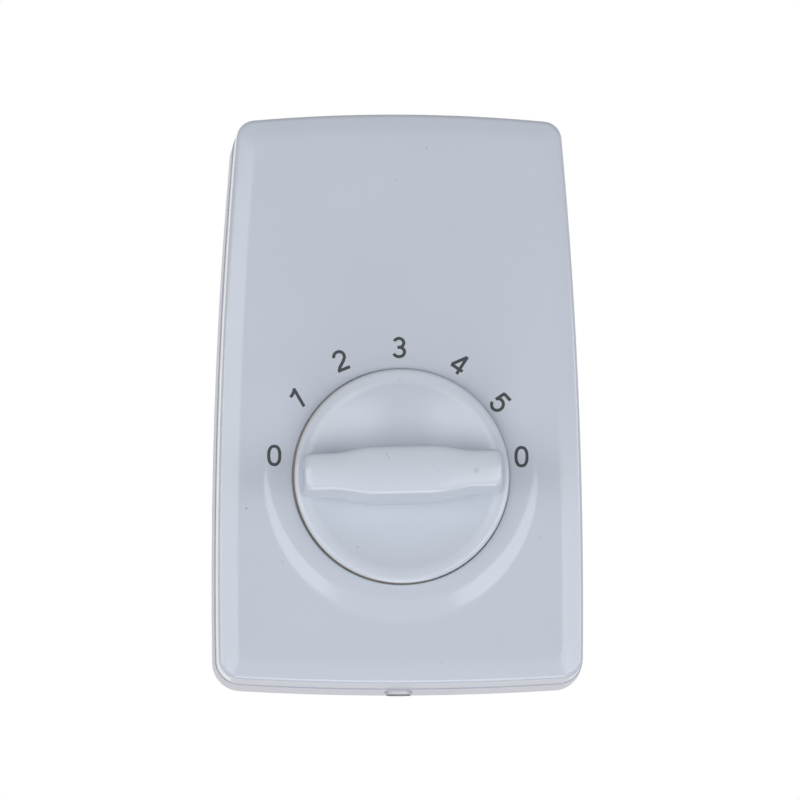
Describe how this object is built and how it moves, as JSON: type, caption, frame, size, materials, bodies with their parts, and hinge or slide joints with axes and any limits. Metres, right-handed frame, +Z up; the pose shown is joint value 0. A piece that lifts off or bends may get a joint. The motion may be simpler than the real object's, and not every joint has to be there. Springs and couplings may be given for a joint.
{
  "type": "fan speed control switch",
  "caption": "Surface-mounted wall regulator for a ceiling fan: tapered moulded case, stepped rotary knob with a grip bar, choke, rotary switch and terminal block inside.",
  "frame": {"origin": "middle of the tray's flat back, on the wall", "axes": "+X to the right seen from the front, +Y into the wall, +Z up the wall; the face looks along -Y"},
  "size_m": [0.08, 0.039, 0.1247],
  "materials": {
    "base_plastic": "glossy white moulding",
    "cover_plastic": "glossy white moulding",
    "knob_plastic": "glossy white moulding",
    "case_screw_steel": "dark plated screw",
    "spring_steel": "bare spring steel",
    "plated_steel": "zinc plated",
    "rotor_plastic": "natural nylon",
    "contact_brass": "bare brass strip",
    "bush_brass": "turned brass",
    "phenolic": "brown phenolic moulding",
    "core_steel": "varnished laminations",
    "bobbin_plastic": "black nylon",
    "winding_copper": "enamelled copper wire",
    "tape_film": "yellow film tape",
    "block_plastic": "natural polyamide",
    "lead_blue": "blue wire insulation",
    "lead_red": "red wire insulation"
  },
  "bodies": {
    "housing": {"rear_base": "base_plastic", "front_cover": "cover_plastic", "cover_screw": "case_screw_steel", "switch_body": "phenolic", "switch_plate": "plated_steel", "switch_bush": "bush_brass", "switch_rivets": "contact_brass", "switch_screws": "plated_steel", "fixed_contacts": "contact_brass", "common_contact": "contact_brass", "detent_spring": "spring_steel", "choke_e_core": "core_steel", "choke_i_core": "core_steel", "choke_bobbin": "bobbin_plastic", "choke_winding": "winding_copper", "choke_tape": "tape_film", "choke_screws": "plated_steel", "terminal_block": "block_plastic", "terminal_tubes": "contact_brass", "terminal_screws": "plated_steel", "block_screw": "plated_steel", "tap_leads": "lead_blue", "mains_leads": "lead_red"},
    "dial": {"control_knob": "knob_plastic", "knob_clip": "spring_steel", "switch_shaft": "plated_steel", "shaft_clip": "spring_steel", "switch_rotor": "rotor_plastic", "switch_wiper": "contact_brass"}
  },
  "joints": [
    {"name": "speed_dial", "type": "hinge", "parent": "housing", "child": "dial", "pos_m": [0, -0.0286, -0.0172], "axis": [0, -1, 0], "range_deg": [0, 180], "deforming": ["detent_spring"]}
  ]
}
